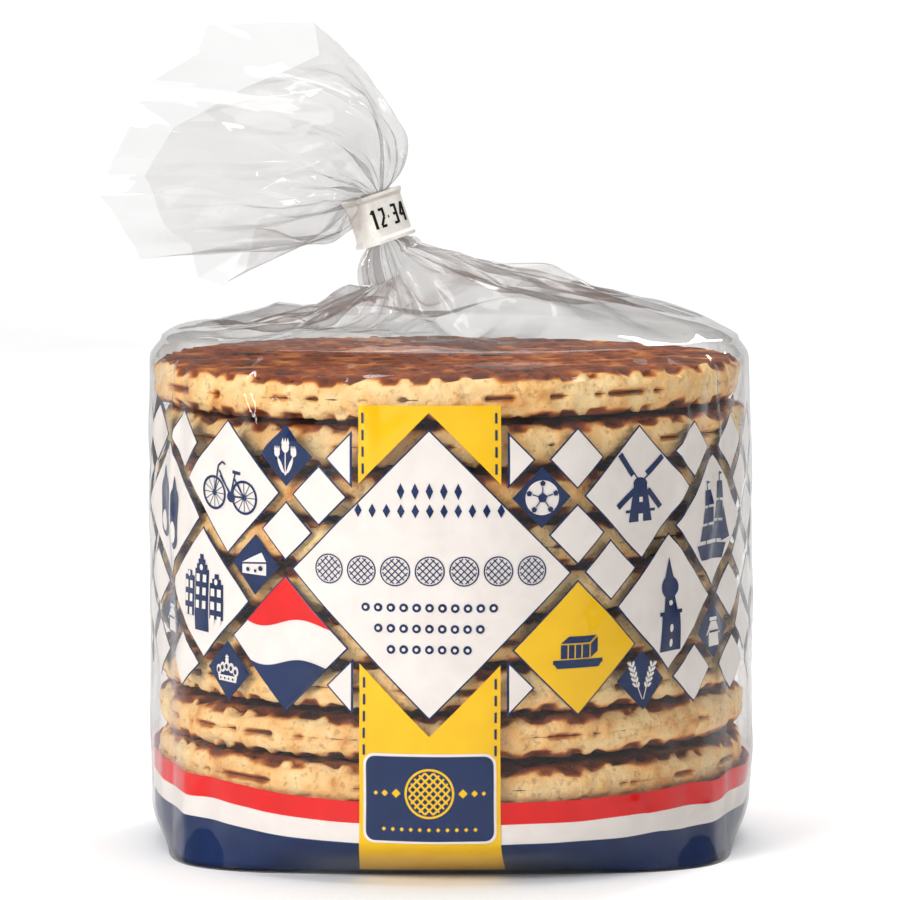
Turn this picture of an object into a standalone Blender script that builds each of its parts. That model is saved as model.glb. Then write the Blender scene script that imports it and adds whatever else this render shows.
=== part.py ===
"""A clear, block-bottomed film bag of stroopwafels, gathered at its neck and closed with a folded clip.

Two solids: the film bag, out to its folded outline, and the clip round its neck. Metres, +Z up. The origin
is where the axis of the round stack meets the surface that the bag stands on, and the front faces -Y.
"""

import math

import bmesh
import bpy
from mathutils import Matrix, Vector

MM = 0.001

# The stack of round waffles sets the size of the bag.
WAFFLE_RADIUS = 50.0 * MM
WAFFLE_COUNT = 10
WAFFLE_PITCH = 7.95 * MM
FOLDED_BASE = 3.8 * MM  # the folds of film under the lowest waffle
FILM_SLACK = 1.6 * MM

BODY_RADIUS = WAFFLE_RADIUS + FILM_SLACK
STACK_TOP = FOLDED_BASE + WAFFLE_COUNT * WAFFLE_PITCH
RIM_HEIGHT = STACK_TOP + 3.2 * MM
RIM_RADIUS = BODY_RADIUS - 2.4 * MM

# The block bottom is a rounded rectangle, which grows into the round body.
FOOT_HALF_WIDTH = 47.8 * MM
FOOT_HALF_DEPTH = 39.5 * MM
FOOT_SQUARENESS = 4.5
FOOT_RISE = 7.5 * MM
GUSSET_ANGLE = math.radians(57)  # of the four gusset creases, from the front and the back
GUSSET_WIDTH = math.radians(7)
GUSSET_DEPTH = 0.9 * MM
GUSSET_TOP = 60.0 * MM
WALL_WAVE = 0.35 * MM
WALL_FOLDS = 5
WALL_TWIST = 40.0  # radians of the folds' slant for each metre of height

# The neck runs through the clip. It leans to the left, and the clip is turned a little about it.
NECK_CENTRE = Vector((-12.2 * MM, 0.0, 106.4 * MM))
NECK_LEAN = math.radians(18)
CLIP_TURN = math.radians(28)
CLIP_HALF_WIDTH = 4.0 * MM
CLIP_HALF_DEPTH = 4.6 * MM
CLIP_HEIGHT = 8.4 * MM
CLIP_WALL = 0.6 * MM
CLIP_LIP = 0.35 * MM
CLIP_SQUARENESS = 4.5
CLIP_END_GAP = 0.7 * MM
RUNNING_GAP = 0.3 * MM

# Folds of the gathered film.
PLEATS = 11
PLEAT_HEIGHT = 1.7 * MM
TENT_SAG = 0.4 * MM
TENT_SHOULDER = 1.6 * MM  # how far the film stands up just inside its rim
SHOULDER_SHARE = 0.09
TENT_HOLLOW_LEFT = 2.3  # the power of the tent's slope: 1 is straight, and more is hollow
TENT_HOLLOW_RIGHT = 1.1
TRUNK_LENGTH = 6.6 * MM
TRUNK_SPREAD = 2.05
TRUNK_SHORTER_RIGHT = 0.72  # the trunk's right side turns into the tent this much sooner
TRUNK_SLIMMER_RIGHT = 0.2

# The open end of the bag, above the clip, fans out to the left.
FAN_MOUTH = Vector((-42.0 * MM, -2.0 * MM, 117.0 * MM))
FAN_RADIUS = 22.0 * MM
FAN_END_LEAN = math.radians(70)
FAN_RISE = 10.0 * MM  # the film stands this high out of the clip before it turns over
FRONT_FLAP = 17.0 * MM  # how far the front of its edge passes the mouth
BACK_FLAP = 9.0 * MM
FAN_RUFFLE = 2.6 * MM
FAN_DISH = 7.0 * MM  # the depth of the hollow between its flaps
FAN_LOBES = ((3, 0.10, 0.9), (7, 0.07, 2.0), (13, 0.04, 0.0))  # (lobes in a turn, height, start) of its waves

# How finely the surfaces are divided.
SIDES = 80
FOOT_STEPS = 6
WALL_STEPS = 7
TENT_STEPS = 10
TRUNK_STEPS = 4
FAN_STEPS = 10
DISH_SHARES = (0.12, 0.45, 0.8)
CLIP_STEPS = 56


def smooth_step(value, start, end):
    share = min(max((value - start) / (end - start), 0.0), 1.0)
    return share * share * (3 - 2 * share)


def rounded_box(angle, half_width, half_depth, squareness):
    """The radius of a superellipse in the direction of the angle."""
    across = abs(math.cos(angle) / half_width) ** squareness
    along = abs(math.sin(angle) / half_depth) ** squareness
    return (across + along) ** (-1 / squareness)


def crease(angle, centre, width):
    """1 on a crease and 0 beside it, with straight flanks."""
    away = abs((angle - centre + math.pi) % (2 * math.pi) - math.pi)
    return max(0.0, 1 - away / width)


def gusset_ridge(angle):
    front, back = -math.pi / 2, math.pi / 2
    centres = (front - GUSSET_ANGLE, front + GUSSET_ANGLE, back - GUSSET_ANGLE, back + GUSSET_ANGLE)
    return max(crease(angle, centre, GUSSET_WIDTH) for centre in centres)


def pleat_wave(angle):
    """The folds of the gathered film: uneven, between -1 and 1, and the same after a full turn."""
    main = math.sin(PLEATS * angle + 0.8 * math.sin(2 * angle))
    fine = math.sin((2 * PLEATS + 1) * angle + 1.3 * math.sin(3 * angle))
    return 0.72 * main + 0.28 * fine


def body_point(angle, height):
    foot = rounded_box(angle, FOOT_HALF_WIDTH, FOOT_HALF_DEPTH, FOOT_SQUARENESS)
    ridge = GUSSET_DEPTH * gusset_ridge(angle) * (1 - smooth_step(height, 0.0, GUSSET_TOP))
    slack = WALL_WAVE * math.sin(WALL_FOLDS * angle + WALL_TWIST * height)
    rise = math.sin(0.5 * math.pi * min(height / FOOT_RISE, 1.0))
    radius = foot + (BODY_RADIUS + ridge + slack - foot) * rise
    radius -= (BODY_RADIUS - RIM_RADIUS) * smooth_step(height, STACK_TOP - 2 * MM, RIM_HEIGHT) ** 2
    return Vector((radius * math.cos(angle), radius * math.sin(angle), height))


def neck_frame():
    return Matrix.Translation(NECK_CENTRE) @ Matrix.Rotation(-NECK_LEAN, 4, "Y")


def neck_radius(angle):
    inside = CLIP_WALL + RUNNING_GAP
    return rounded_box(
        angle - CLIP_TURN, CLIP_HALF_WIDTH - inside, CLIP_HALF_DEPTH - inside, CLIP_SQUARENESS
    )


def neck_point(angle, along, spread=1.0):
    """A point of the gathered neck, along its leaning axis from the middle of the clip."""
    radius = spread * neck_radius(angle)
    return neck_frame() @ Vector((radius * math.cos(angle), radius * math.sin(angle), along))


def rightness(angle):
    """1 on the bag's right, where the film runs straight up to the clip, and 0 on its left."""
    return smooth_step(math.cos(angle), -0.3, 0.8)


def trunk_point(angle, share):
    """The gathered film under the clip, from where it meets the tent at share 0 to the clip at share 1."""
    length = TRUNK_LENGTH * (1 - TRUNK_SHORTER_RIGHT * rightness(angle))
    widest = TRUNK_SPREAD * (1 - TRUNK_SLIMMER_RIGHT * rightness(angle))
    along = -0.5 * CLIP_HEIGHT - length + (length - RUNNING_GAP) * share
    spread = 1 + (widest - 1) * (1 - share ** 2.6)
    return neck_point(angle, along, spread * (1 + 0.09 * pleat_wave(angle) * (1 - share)))


def tent_point(angle, share):
    """The film over the stack, from the rim at share 0 to the foot of the trunk at share 1."""
    rim = body_point(angle, RIM_HEIGHT)
    foot = trunk_point(angle, 0.0)
    hollow = TENT_HOLLOW_LEFT + (TENT_HOLLOW_RIGHT - TENT_HOLLOW_LEFT) * rightness(angle)
    shoulder = TENT_SHOULDER * (1 - math.exp(-share / SHOULDER_SHARE)) * (1 - share)
    point = rim.lerp(foot, share)
    point.z = rim.z + (foot.z - rim.z) * share ** hollow + shoulder
    point.z += (PLEAT_HEIGHT * pleat_wave(angle) - TENT_SAG) * math.sin(math.pi * share)
    return point


def fan_point(angle, share):
    """The fanned end of the bag, from the clip at share 0 to its mouth at share 1."""
    start = neck_frame() @ Vector((0, 0, 0.5 * CLIP_HEIGHT + RUNNING_GAP))
    above = neck_frame() @ Vector((0, 0, 0.5 * CLIP_HEIGHT + FAN_RISE))
    centre = start.lerp(above, share).lerp(above.lerp(FAN_MOUTH, share), share)
    lean = NECK_LEAN + (FAN_END_LEAN - NECK_LEAN) * smooth_step(share, -0.05, 0.9)
    across = Vector((math.cos(lean), 0, math.sin(lean)))
    forward = Vector((-math.sin(lean), 0, math.cos(lean)))
    opening = neck_radius(angle) * (1 - share) + FAN_RADIUS * share ** 0.85
    lobes = sum(height * math.sin(count * angle + begin) for count, height, begin in FAN_LOBES)
    radius = opening * (1 + lobes * share ** 1.5)
    flap = (FRONT_FLAP if math.sin(angle) < 0 else BACK_FLAP) * math.sin(angle) ** 2
    ahead = (flap + FAN_RUFFLE * math.sin(5 * angle + 0.4)) * share ** 2
    return (
        centre
        + across * (radius * math.cos(angle))
        + Vector((0, 1, 0)) * (radius * math.sin(angle))
        + forward * ahead
    )


def fan_dish_point(angle, share):
    """The hollow inside the mouth, from its edge at share 0 towards the middle."""
    edge = fan_point(angle, 1.0)
    back = Vector((math.sin(FAN_END_LEAN), 0, -math.cos(FAN_END_LEAN)))
    middle = FAN_MOUTH + back * FAN_DISH
    return edge.lerp(middle, share)


def ring_angles():
    return [2 * math.pi * step / SIDES for step in range(SIDES)]


def bag_rings():
    """The rings of the bag's surface, from the middle of its foot to the middle of its mouth."""
    wall_top = STACK_TOP - 2 * MM
    foot_heights = [FOOT_RISE * (step / FOOT_STEPS) ** 1.3 for step in range(FOOT_STEPS)]
    wall_heights = [FOOT_RISE + step / WALL_STEPS * (wall_top - FOOT_RISE) for step in range(WALL_STEPS + 1)]
    rim_heights = [STACK_TOP, 0.5 * (STACK_TOP + RIM_HEIGHT), RIM_HEIGHT]
    rings = []
    for height in foot_heights + wall_heights + rim_heights:
        rings.append([body_point(angle, height) for angle in ring_angles()])
    for step in range(1, TENT_STEPS + 1):
        rings.append([tent_point(angle, step / TENT_STEPS) for angle in ring_angles()])
    for step in range(1, TRUNK_STEPS + 1):
        rings.append([trunk_point(angle, step / TRUNK_STEPS) for angle in ring_angles()])
    rings.append([neck_point(angle, 0.0) for angle in ring_angles()])
    for step in range(FAN_STEPS + 1):
        rings.append([fan_point(angle, step / FAN_STEPS) for angle in ring_angles()])
    for share in DISH_SHARES:
        rings.append([fan_dish_point(angle, share) for angle in ring_angles()])
    return rings


def closed_loft(name, rings):
    """A closed mesh through rings of equally many points, with a flat cap on its first and last ring."""
    shape = bmesh.new()
    rows = [[shape.verts.new(point) for point in ring] for ring in rings]
    for lower, upper in zip(rows, rows[1:]):
        for here in range(len(lower)):
            there = (here + 1) % len(lower)
            shape.faces.new((lower[here], lower[there], upper[there], upper[here]))
    shape.faces.new(list(reversed(rows[0])))
    shape.faces.new(rows[-1])
    bmesh.ops.recalc_face_normals(shape, faces=shape.faces)
    mesh = bpy.data.meshes.new(name)
    shape.to_mesh(mesh)
    shape.free()
    return mesh


def clip_profile():
    """The section of the clip's strip as (outwards, up) offsets from its inner face, anticlockwise."""
    half = 0.5 * CLIP_HEIGHT
    lip = 0.55 * MM
    return [
        (0.0, -half),
        (CLIP_WALL + CLIP_LIP, -half),
        (CLIP_WALL + CLIP_LIP, -half + lip),
        (CLIP_WALL, -half + 2 * lip),
        (CLIP_WALL, half - 2 * lip),
        (CLIP_WALL + CLIP_LIP, half - lip),
        (CLIP_WALL + CLIP_LIP, half),
        (0.0, half),
    ]


def clip_mesh():
    """One strip with rolled lips, folded round the neck, whose ends nearly meet at the back."""
    width = CLIP_HALF_WIDTH - CLIP_WALL
    depth = CLIP_HALF_DEPTH - CLIP_WALL
    back = math.pi / 2
    gap = CLIP_END_GAP / (CLIP_HALF_DEPTH * 2)
    sections = []
    for step in range(CLIP_STEPS + 1):
        angle = back + gap + step / CLIP_STEPS * (2 * math.pi - 2 * gap)
        inner = rounded_box(angle, width, depth, CLIP_SQUARENESS)
        outer = rounded_box(angle, width + CLIP_WALL, depth + CLIP_WALL, CLIP_SQUARENESS) - inner
        section = []
        for out, up in clip_profile():
            radius = inner + outer * out / CLIP_WALL
            section.append(Vector((radius * math.cos(angle), radius * math.sin(angle), up)))
        sections.append(section)
    return closed_loft("closure_clip", sections)


def material(name, colour, roughness, metallic=0.0, alpha=1.0):
    made = bpy.data.materials.new(name)
    made.use_nodes = True
    shader = made.node_tree.nodes["Principled BSDF"]
    shader.inputs["Base Color"].default_value = (*colour, 1.0)
    shader.inputs["Roughness"].default_value = roughness
    shader.inputs["Metallic"].default_value = metallic
    shader.inputs["Alpha"].default_value = alpha
    made.diffuse_color = (*colour, alpha)
    return made


def add_part(name, mesh, finish, sharp_degrees):
    mesh.materials.append(finish)
    mesh.shade_smooth()
    mesh.set_sharp_from_angle(angle=math.radians(sharp_degrees))
    part = bpy.data.objects.new(name, mesh)
    bpy.context.scene.collection.objects.link(part)
    return part


def main():
    for old in list(bpy.data.objects):
        bpy.data.objects.remove(old)
    clear_film = material("clear_film", (0.86, 0.84, 0.82), 0.12, alpha=0.5)
    white_strip = material("white_strip", (0.80, 0.79, 0.76), 0.42)
    add_part("film_bag", closed_loft("film_bag", bag_rings()), clear_film, 40)
    clip = add_part("closure_clip", clip_mesh(), white_strip, 30)
    clip.matrix_world = neck_frame() @ Matrix.Rotation(CLIP_TURN, 4, "Z")


main()
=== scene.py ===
"""The looks of a clear printed bag of stroopwafels: thin film, its print, the waffles inside and the clip.

Metres, +Z up, the front faces -Y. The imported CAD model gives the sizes; nothing here moves it.
"""

import math

import bmesh
import bpy
import numpy as np
from mathutils import Matrix, Vector
from mathutils.geometry import tessellate_polygon


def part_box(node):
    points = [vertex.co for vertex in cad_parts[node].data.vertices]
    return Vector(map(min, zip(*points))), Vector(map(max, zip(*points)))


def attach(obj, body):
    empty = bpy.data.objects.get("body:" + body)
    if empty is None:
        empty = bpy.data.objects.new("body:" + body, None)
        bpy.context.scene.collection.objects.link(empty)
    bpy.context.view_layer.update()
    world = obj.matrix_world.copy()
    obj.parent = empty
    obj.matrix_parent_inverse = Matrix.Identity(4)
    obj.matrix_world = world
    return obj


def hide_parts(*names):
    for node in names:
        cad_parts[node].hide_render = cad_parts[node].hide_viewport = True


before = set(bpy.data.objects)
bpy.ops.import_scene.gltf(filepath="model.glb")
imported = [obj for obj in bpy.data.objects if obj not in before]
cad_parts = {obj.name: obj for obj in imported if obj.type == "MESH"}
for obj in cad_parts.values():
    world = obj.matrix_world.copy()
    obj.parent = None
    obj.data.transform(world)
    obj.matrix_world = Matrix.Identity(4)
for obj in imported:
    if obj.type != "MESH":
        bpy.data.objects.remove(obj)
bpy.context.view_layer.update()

MM = 0.001
TAU = 2 * math.pi
FRONT = -0.5 * math.pi  # the angle round the axis that faces the camera

# Sizes of the bag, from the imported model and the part's own driving values.
BAG_LOW, BAG_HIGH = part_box("film_bag")
CLIP_LOW, CLIP_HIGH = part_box("closure_clip")
WALL_WAVE = 0.35 * MM
BODY_RADIUS = 0.5 * (BAG_HIGH.y - BAG_LOW.y) - WALL_WAVE
FILM_SLACK = 1.6 * MM
WAFFLE_RADIUS = BODY_RADIUS - FILM_SLACK
WAFFLE_COUNT = 10
WAFFLE_PITCH = 7.95 * MM
FOLDED_BASE = 3.8 * MM
STACK_TOP = FOLDED_BASE + WAFFLE_COUNT * WAFFLE_PITCH
RIM_HEIGHT = STACK_TOP + 3.2 * MM
RIM_RADIUS = BODY_RADIUS - 2.4 * MM
FOOT_HALF_WIDTH = 47.8 * MM
FOOT_HALF_DEPTH = 39.5 * MM
FOOT_SQUARENESS = 4.5
FOOT_RISE = 7.5 * MM
GUSSET_ANGLE = math.radians(57)
GUSSET_WIDTH = math.radians(7)
GUSSET_DEPTH = 0.9 * MM
GUSSET_TOP = 60.0 * MM

NECK = 0.5 * (CLIP_LOW + CLIP_HIGH)
NECK_LEAN = math.radians(18)
CLIP_TURN = math.radians(28)
CLIP_HEIGHT = 8.4 * MM
CLIP_HALF_WIDTH = 4.0 * MM
CLIP_HALF_DEPTH = 4.6 * MM
CLIP_WALL = 0.6 * MM
CLIP_SQUARENESS = 4.5
TRUNK_LENGTH = 6.6 * MM
TRUNK_SPREAD = 2.05
FILM_COLUMNS = 512
WALL_ROWS = 150
ROW_STEP = RIM_HEIGHT / WALL_ROWS
UNDER_ROWS = 20  # rows of the same step that run in under the bag
TENT_ROWS = 70
TRUNK_ROWS = 9
FAN_ROWS = 96


# ---------------------------------------------------------------- small tools


def smooth_step(value, start, end):
    share = np.clip((value - start) / (end - start), 0.0, 1.0)
    return share * share * (3 - 2 * share)


def fold(phase, sharpness=0.985):
    """A triangle wave between -1 and 1 with slightly rounded creases."""
    return np.arcsin(sharpness * np.sin(phase)) / math.asin(sharpness)


def lattice_value(ix, iy, iz, seed):
    """A fixed pseudo-random number from -1 to 1 for each lattice point."""
    n = (ix * 374761393 + iy * 668265263 + iz * 1274126177 + seed * 974711) & 0xFFFFFFFF
    n = ((n ^ (n >> 13)) * 1103515245) & 0xFFFFFFFF
    return ((n ^ (n >> 16)) & 0xFFFF) / 32767.5 - 1.0


def noise(points, cell, seed=0):
    """Smooth value noise from -1 to 1 at an array of points; cell is the size of its lumps."""
    scaled = points / cell
    base = np.floor(scaled).astype(np.int64)
    part = scaled - base
    part = part * part * (3 - 2 * part)
    total = 0.0
    for corner in range(8):
        step = np.array([corner & 1, corner >> 1 & 1, corner >> 2 & 1])
        weight = np.prod(np.where(step, part, 1 - part), axis=-1)
        cellid = base + step
        total = total + weight * lattice_value(cellid[..., 0], cellid[..., 1], cellid[..., 2], seed)
    return total


def facets(u, v, around, seed):
    """A crumpled sheet from -1 to 1: flat triangles between random heights, closed after `around` cells."""
    left = np.floor(u).astype(np.int64)
    low = np.floor(v).astype(np.int64)
    across = u - left
    up = v - low

    def height(i, j):
        return lattice_value(np.mod(left + i, around), low + j, 0, seed)

    start, right, above, far = height(0, 0), height(1, 0), height(0, 1), height(1, 1)
    lower_half = start + (right - start) * across + (far - right) * up
    upper_half = start + (far - above) * across + (above - start) * up
    return np.where(across > up, lower_half, upper_half)


def along_ring(angle, table):
    """A point for each angle, on straight lines between (degrees, x, y, z in mm) rows that close round."""
    rows = np.array(table, float)
    degrees = np.degrees(np.mod(angle + math.pi, TAU)) - 180
    closed = np.vstack([rows, rows[0] + np.array([360.0, 0, 0, 0])])
    parts = [np.interp(degrees, closed[:, 0], closed[:, axis]) for axis in (1, 2, 3)]
    return np.stack(parts, axis=-1) * MM


def stacked(x, y, z):
    return np.stack(np.broadcast_arrays(x, y, z), axis=-1)


def loop_faces(rows, columns):
    """Quads of a grid whose columns close into a ring."""
    row, column = np.meshgrid(np.arange(rows - 1), np.arange(columns), indexing="ij")
    following = (column + 1) % columns
    corners = (row * columns + column, row * columns + following,
               (row + 1) * columns + following, (row + 1) * columns + column)
    return np.stack(corners, axis=-1).reshape(-1, 4)


def weld(mesh):
    """Joins the points that lie on one another and turns every face outwards."""
    shape = bmesh.new()
    shape.from_mesh(mesh)
    bmesh.ops.remove_doubles(shape, verts=shape.verts, dist=0.001 * MM)
    bmesh.ops.recalc_face_normals(shape, faces=shape.faces)
    shape.to_mesh(mesh)
    shape.free()


def cut_at(shape, axis, places):
    """Cuts every face along the planes that stand across the axis at these places."""
    for place in places:
        geometry = shape.verts[:] + shape.edges[:] + shape.faces[:]
        bmesh.ops.bisect_plane(shape, geom=geometry, dist=1e-5, plane_co=Vector(axis) * place, plane_no=axis)


def put_in_bag(piece):
    """Puts a piece of the film, its print or its contents under the root body and hides the solid it stands in
    for.
    """
    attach(piece, "root")
    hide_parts("film_bag")


def add_object(name, mesh, material, smooth=True):
    mesh.materials.append(material)
    if smooth:
        mesh.shade_smooth()
    piece = bpy.data.objects.new(name, mesh)
    bpy.context.scene.collection.objects.link(piece)
    return piece


def mesh_of(name, points, faces):
    mesh = bpy.data.meshes.new(name)
    mesh.from_pydata(np.asarray(points).reshape(-1, 3).tolist(), [], [list(face) for face in faces])
    mesh.update()
    return mesh


def set_attribute(mesh, name, values):
    layer = mesh.attributes.new(name, "FLOAT", "POINT")
    layer.data.foreach_set("value", np.asarray(values, np.float32).ravel())


# ---------------------------------------------------------------- materials


def linear(red, green, blue):
    """A colour given as screen values from 0 to 255, as Blender's linear values."""
    channels = []
    for value in (red, green, blue):
        share = value / 255
        channels.append(share / 12.92 if share <= 0.04045 else ((share + 0.055) / 1.055) ** 2.4)
    return (*channels, 1.0)


class Nodes:
    """A short way to write a material's node tree."""

    def __init__(self, name):
        self.material = bpy.data.materials.new(name)
        self.material.use_nodes = True
        self.tree = self.material.node_tree
        self.tree.nodes.clear()
        self.output = self.tree.nodes.new("ShaderNodeOutputMaterial")

    def add(self, kind, inputs=None, **settings):
        node = self.tree.nodes.new("ShaderNode" + kind)
        for key, value in settings.items():
            setattr(node, key, value)
        for key, value in (inputs or {}).items():
            self.feed(node.inputs[key], value)
        return node

    def feed(self, socket, value):
        """Links the socket to another node's output, or sets its value."""
        if isinstance(value, bpy.types.NodeSocket):
            self.tree.links.new(value, socket)
        else:
            socket.default_value = value

    def math(self, operation, *values, clamp=False):
        node = self.add("Math", operation=operation, use_clamp=clamp)
        for slot, value in enumerate(values):
            self.feed(node.inputs[slot], value)
        return node.outputs[0]

    def noise(self, scale, detail=2.0, roughness=0.5, vector=None):
        inputs = {"Scale": scale, "Detail": detail, "Roughness": roughness}
        inputs["Vector"] = vector or self.position()
        return self.add("TexNoise", inputs).outputs["Fac"]

    def position(self):
        return self.add("TexCoord").outputs["Object"]

    def ramp(self, factor, stops):
        node = self.add("ValToRGB", {"Fac": factor})
        ramp = node.color_ramp
        while len(ramp.elements) < len(stops):
            ramp.elements.new(0.5)
        for element, (place, colour) in zip(ramp.elements, stops):
            element.position = place
            element.color = colour
        return node.outputs["Color"]

    def mix_colour(self, factor, first, second, blend="MIX"):
        node = self.add("Mix", data_type="RGBA", blend_type=blend)
        for slot, value in ((0, factor), (6, first), (7, second)):
            self.feed(node.inputs[slot], value)
        return node.outputs[2]

    def bump(self, height, strength, distance):
        inputs = {"Height": height, "Strength": strength, "Distance": distance}
        return self.add("Bump", inputs).outputs["Normal"]

    def finish(self, shader):
        self.tree.links.new(shader, self.output.inputs["Surface"])
        return self.material


FILM_GLOSS = 0.024  # what the film mirrors when it is seen straight on
FILM_GRAZING_GLOSS = 0.52  # what that grows by at a shallow angle
FILM_MILK = 0.002
FILM_GRAZING_MILK = 0.14
PLY_MILK = 0.17  # how much milkier the film is where it is gathered
FILM_HAZE = (0.46, 0.45, 0.44, 1)
FILM_TINTS = [
    (0.0, (0.93, 0.927, 0.925, 1)),
    (0.55, (0.865, 0.86, 0.855, 1)),
    (1.0, (0.50, 0.49, 0.48, 1)),
]


def film_material():
    """Clear film: it mirrors more at a shallow angle, and each layer greys what is behind it a little."""
    nodes = Nodes("clear_film")
    ripple = nodes.noise(95.0, 2.0, 0.5)
    normal = nodes.bump(ripple, 0.22, 0.0012)
    facing = nodes.add("LayerWeight", {"Blend": 0.5, "Normal": normal}).outputs["Facing"]
    grazing = nodes.math("POWER", facing, 4.0)
    mirrored = nodes.math("MULTIPLY_ADD", grazing, FILM_GRAZING_GLOSS, FILM_GLOSS)
    gloss = nodes.add("BsdfGlossy", {"Color": (0.96, 0.96, 0.97, 1), "Roughness": 0.03, "Normal": normal})
    clear = nodes.add("BsdfTransparent", {"Color": nodes.ramp(facing, FILM_TINTS)})
    plies = nodes.add("Attribute", attribute_name="plies", attribute_type="GEOMETRY").outputs["Fac"]
    haze = nodes.add("BsdfDiffuse", {"Color": FILM_HAZE})
    milky = nodes.math("MULTIPLY_ADD", grazing, FILM_GRAZING_MILK, FILM_MILK)
    gathered = nodes.math("MULTIPLY_ADD", plies, PLY_MILK, milky)
    body = nodes.add("MixShader", {0: gathered, 1: clear.outputs[0], 2: haze.outputs[0]})
    mixed = nodes.add("MixShader", {0: mirrored, 1: body.outputs[0], 2: gloss.outputs[0]})
    return nodes.finish(mixed.outputs[0])


INK_SPECULAR = 0.06  # low, as the film over the ink mirrors already


def ink_material(name, colour, shade):
    """Printing ink with a faint unevenness of cover."""
    nodes = Nodes(name)
    cover = nodes.noise(220.0, 3.0, 0.6)
    tint = nodes.ramp(cover, [(0.3, shade), (0.65, colour)])
    rough = nodes.math("MULTIPLY_ADD", nodes.noise(90.0), 0.16, 0.34)
    looks = {"Base Color": tint, "Roughness": rough, "Specular IOR Level": INK_SPECULAR}
    shader = nodes.add("BsdfPrincipled", looks)
    return nodes.finish(shader.outputs[0])


def dough_material():
    """Baked dough: cream where it was cut, golden to dark brown where it met the iron, and darker in the iron's
    pits as painted shade.
    """
    nodes = Nodes("waffle_dough")
    # This attribute carries the baked colour and the painted shade in the iron's pits.
    bake_and_painted_shade = nodes.add("Attribute", attribute_name="bake_and_painted_shade", attribute_type="GEOMETRY").outputs["Fac"]
    blotch = nodes.noise(190.0, 4.0, 0.62)
    shift = nodes.math("MULTIPLY_ADD", blotch, 0.62, -0.30)
    amount = nodes.math("ADD", bake_and_painted_shade, shift, clamp=True)
    crust_and_painted_shade = nodes.ramp(amount, [
        (0.00, linear(255, 220, 160)),
        (0.24, linear(245, 192, 120)),
        (0.42, linear(206, 128, 58)),
        (0.64, linear(146, 70, 26)),
        (1.00, linear(70, 31, 15)),
    ])
    fleck = nodes.noise(760.0, 3.0, 0.62)
    flecks = nodes.ramp(fleck, [(0.33, (0.50, 0.36, 0.26, 1)), (0.45, (1, 1, 1, 1))])
    colour = nodes.mix_colour(0.6, crust_and_painted_shade, flecks, "MULTIPLY")
    crumb = nodes.noise(1100.0, 4.0, 0.65)
    normal = nodes.bump(crumb, 0.8, 0.0006)
    rough = nodes.math("MULTIPLY_ADD", amount, -0.22, 0.72)
    shader = nodes.add("BsdfPrincipled", {
        "Base Color": colour, "Roughness": rough, "Normal": normal, "Specular IOR Level": 0.35,
        "Subsurface Weight": 0.12, "Subsurface Scale": 0.0015, "Subsurface Radius": (1.0, 0.55, 0.3),
    })
    return nodes.finish(shader.outputs[0])


def syrup_material():
    nodes = Nodes("caramel_syrup")
    depth = nodes.noise(240.0, 2.0, 0.5)
    colour = nodes.ramp(depth, [(0.3, linear(58, 28, 12)), (0.7, linear(116, 60, 22))])
    normal = nodes.bump(nodes.noise(420.0), 0.15, 0.0004)
    shader = nodes.add("BsdfPrincipled", {
        "Base Color": colour, "Roughness": 0.28, "Normal": normal,
        "Coat Weight": 0.3, "Coat Roughness": 0.2,
    })
    return nodes.finish(shader.outputs[0])


def strip_material():
    """The clip's off-white card, a little shiny and faintly mottled."""
    nodes = Nodes("clip_strip")
    grain = nodes.noise(700.0, 3.0, 0.6)
    colour = nodes.ramp(grain, [(0.35, linear(222, 218, 210)), (0.7, linear(238, 235, 228))])
    normal = nodes.bump(grain, 0.12, 0.0002)
    rough = nodes.math("MULTIPLY_ADD", nodes.noise(160.0), 0.12, 0.34)
    shader = nodes.add("BsdfPrincipled", {"Base Color": colour, "Roughness": rough, "Normal": normal})
    return nodes.finish(shader.outputs[0])


# ---------------------------------------------------------------- the film


def rounded_box(angle, half_width, half_depth, squareness):
    across = np.abs(np.cos(angle) / half_width) ** squareness
    along = np.abs(np.sin(angle) / half_depth) ** squareness
    return (across + along) ** (-1 / squareness)


def near(angle, centre, width):
    """1 on a crease and 0 beside it, with straight flanks."""
    away = np.abs((angle - centre + math.pi) % TAU - math.pi)
    return np.maximum(0.0, 1 - away / width)


def gusset_ridge(angle):
    centres = [side + way * GUSSET_ANGLE for side in (FRONT, -FRONT) for way in (-1, 1)]
    return np.max([near(angle, centre, GUSSET_WIDTH) for centre in centres], axis=0)


WALL_CREASES = [
    [(-18.5, 87.5), (-18.6, 82.5), (-22.0, 77.0), (-28.5, 72.0)],
    [(-18.6, 82.5), (-15.5, 77.5), (-14.8, 71.0)],
    [(-38.0, 87.5), (-41.0, 79.5), (-36.0, 71.5), (-34.5, 78.0)],
    [(47.0, 86.0), (48.2, 62.0), (47.6, 40.0), (49.0, 18.0)],
    [(57.0, 85.0), (60.0, 66.0), (56.0, 50.0), (61.0, 30.0)],
    [(-61.0, 84.0), (-66.0, 62.0), (-61.0, 40.0)],
    [(36.0, 12.0), (46.0, 5.0), (55.0, 9.0)],
    [(-50.0, 22.0), (-55.0, 10.0), (-62.0, 5.0)],
    [(12.0, 3.5), (24.0, 7.5), (33.0, 6.5)],
]  # (degrees from the front, height in mm) along the film's sharpest folds
CREASE_HEIGHT = 0.85 * MM
CREASE_WIDTH = 2.0 * MM
PRINTED_STIFFNESS = 0.32  # the ink stiffens the film, so its creases are this much of their height
SOFT_SWELL = 0.34 * MM
# Each layer of crumples: height, cells round the bag, height of a cell, slant and seed.
LARGE_CRUMPLES = (0.42 * MM, 26, 19 * MM, 60 * MM, 5)
SMALL_CRUMPLES = (0.17 * MM, 58, 7.5 * MM, -31 * MM, 6)
SIDE_FOLDS = (0.42 * MM, 64, 38 * MM, 45 * MM, 7)


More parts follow.
